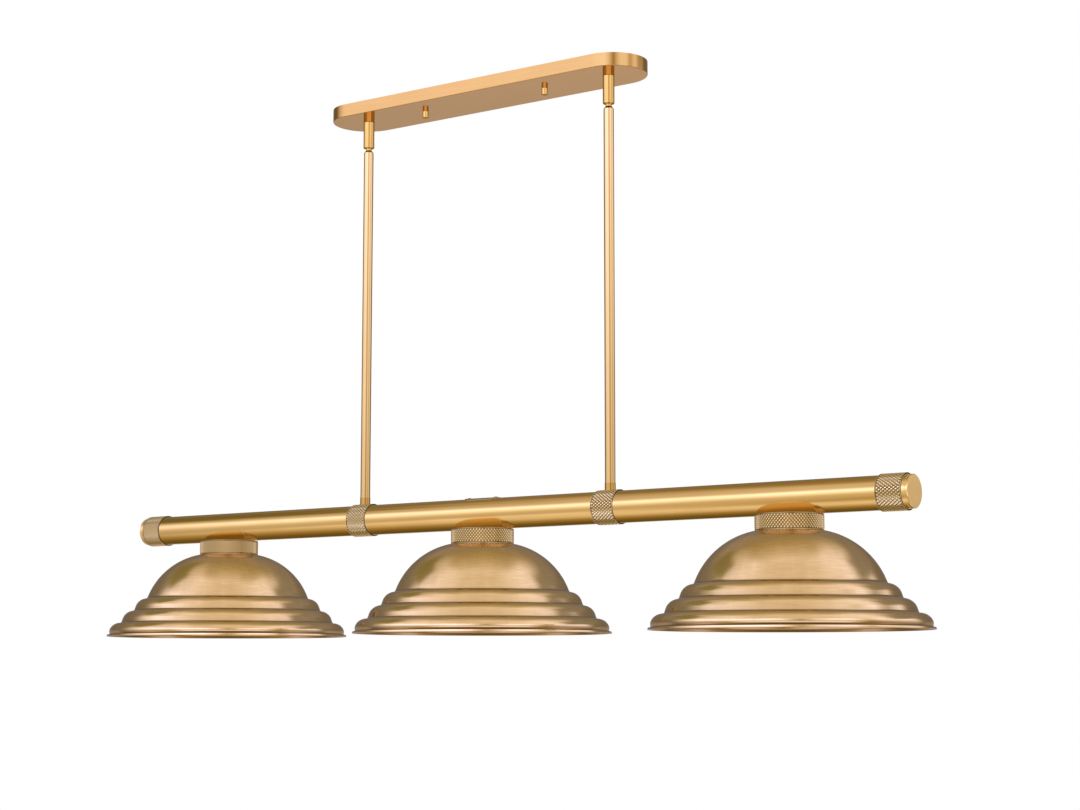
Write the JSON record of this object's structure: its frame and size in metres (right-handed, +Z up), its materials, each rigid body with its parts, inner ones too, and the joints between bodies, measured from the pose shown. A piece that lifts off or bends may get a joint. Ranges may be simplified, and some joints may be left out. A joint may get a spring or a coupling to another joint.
{
  "type": "billiard light",
  "caption": "Linear billiard light: stepped dome shades under a long tube with knurled collars, hung from an oblong ceiling canopy on straight rods with swivels.",
  "frame": {"origin": "middle of the ceiling plane, at the centre of the crossbar's outlet box slots", "axes": "+X along the tube, +Y to the back, +Z up"},
  "size_m": [1.5024, 0.4064, 0.8773],
  "materials": {
    "satin_brass": "satin brushed brass",
    "knurled_brass": "diamond knurled brass",
    "antique_brass": "spun and brushed, aged brass",
    "zinc_steel": "zinc plated",
    "green_paint": "green dyed",
    "porcelain": "white glazed",
    "socket_brass": "bare stamped brass"
  },
  "bodies": {
    "ceiling_mount": {"canopy": "satin_brass", "crossbar": "zinc_steel", "crossbar_studs": "zinc_steel", "stud_lock_nuts": "zinc_steel", "canopy_cap_nuts": "satin_brass", "ground_screw": "green_paint", "swivel_nipples": "zinc_steel", "swivel_lock_washers": "zinc_steel", "swivel_hex_nuts": "zinc_steel", "swivel_cap_left": "satin_brass", "swivel_collar_left": "satin_brass", "swivel_cap_right": "satin_brass", "swivel_collar_right": "satin_brass"},
    "hanging_light": {"main_tube": "satin_brass", "access_cover": "satin_brass", "access_cover_screws": "satin_brass", "swivel_ball_left": "satin_brass", "rod_top_plug_left": "satin_brass", "down_rod_left": "satin_brass", "rod_coupling_left": "satin_brass", "end_cap_left": "satin_brass", "swivel_ball_right": "satin_brass", "rod_top_plug_right": "satin_brass", "down_rod_right": "satin_brass", "rod_coupling_right": "satin_brass", "end_cap_right": "satin_brass", "rod_band_left": "knurled_brass", "end_ring_left": "knurled_brass", "rod_band_right": "knurled_brass", "end_ring_right": "knurled_brass", "shade_neck_left": "knurled_brass", "shade_neck_middle": "knurled_brass", "shade_neck_right": "knurled_brass", "shade_left": "antique_brass", "shade_middle": "antique_brass", "shade_right": "antique_brass", "rod_nipples": "zinc_steel", "rod_saddle_washers": "zinc_steel", "rod_hex_nuts": "zinc_steel", "neck_nipples": "zinc_steel", "neck_saddle_washers": "zinc_steel", "neck_hex_nuts": "zinc_steel", "shade_ring_left": "zinc_steel", "shade_ring_middle": "zinc_steel", "shade_ring_right": "zinc_steel", "socket_body_left": "porcelain", "socket_body_middle": "porcelain", "socket_body_right": "porcelain", "socket_shell_left": "socket_brass", "socket_shell_middle": "socket_brass", "socket_shell_right": "socket_brass", "socket_contacts": "socket_brass"}
  },
  "joints": [
    {"name": "swing", "type": "hinge", "parent": "ceiling_mount", "child": "hanging_light", "pos_m": [0, 0, -0.06075], "axis": [1, 0, 0], "range_deg": [-22, 22]}
  ]
}
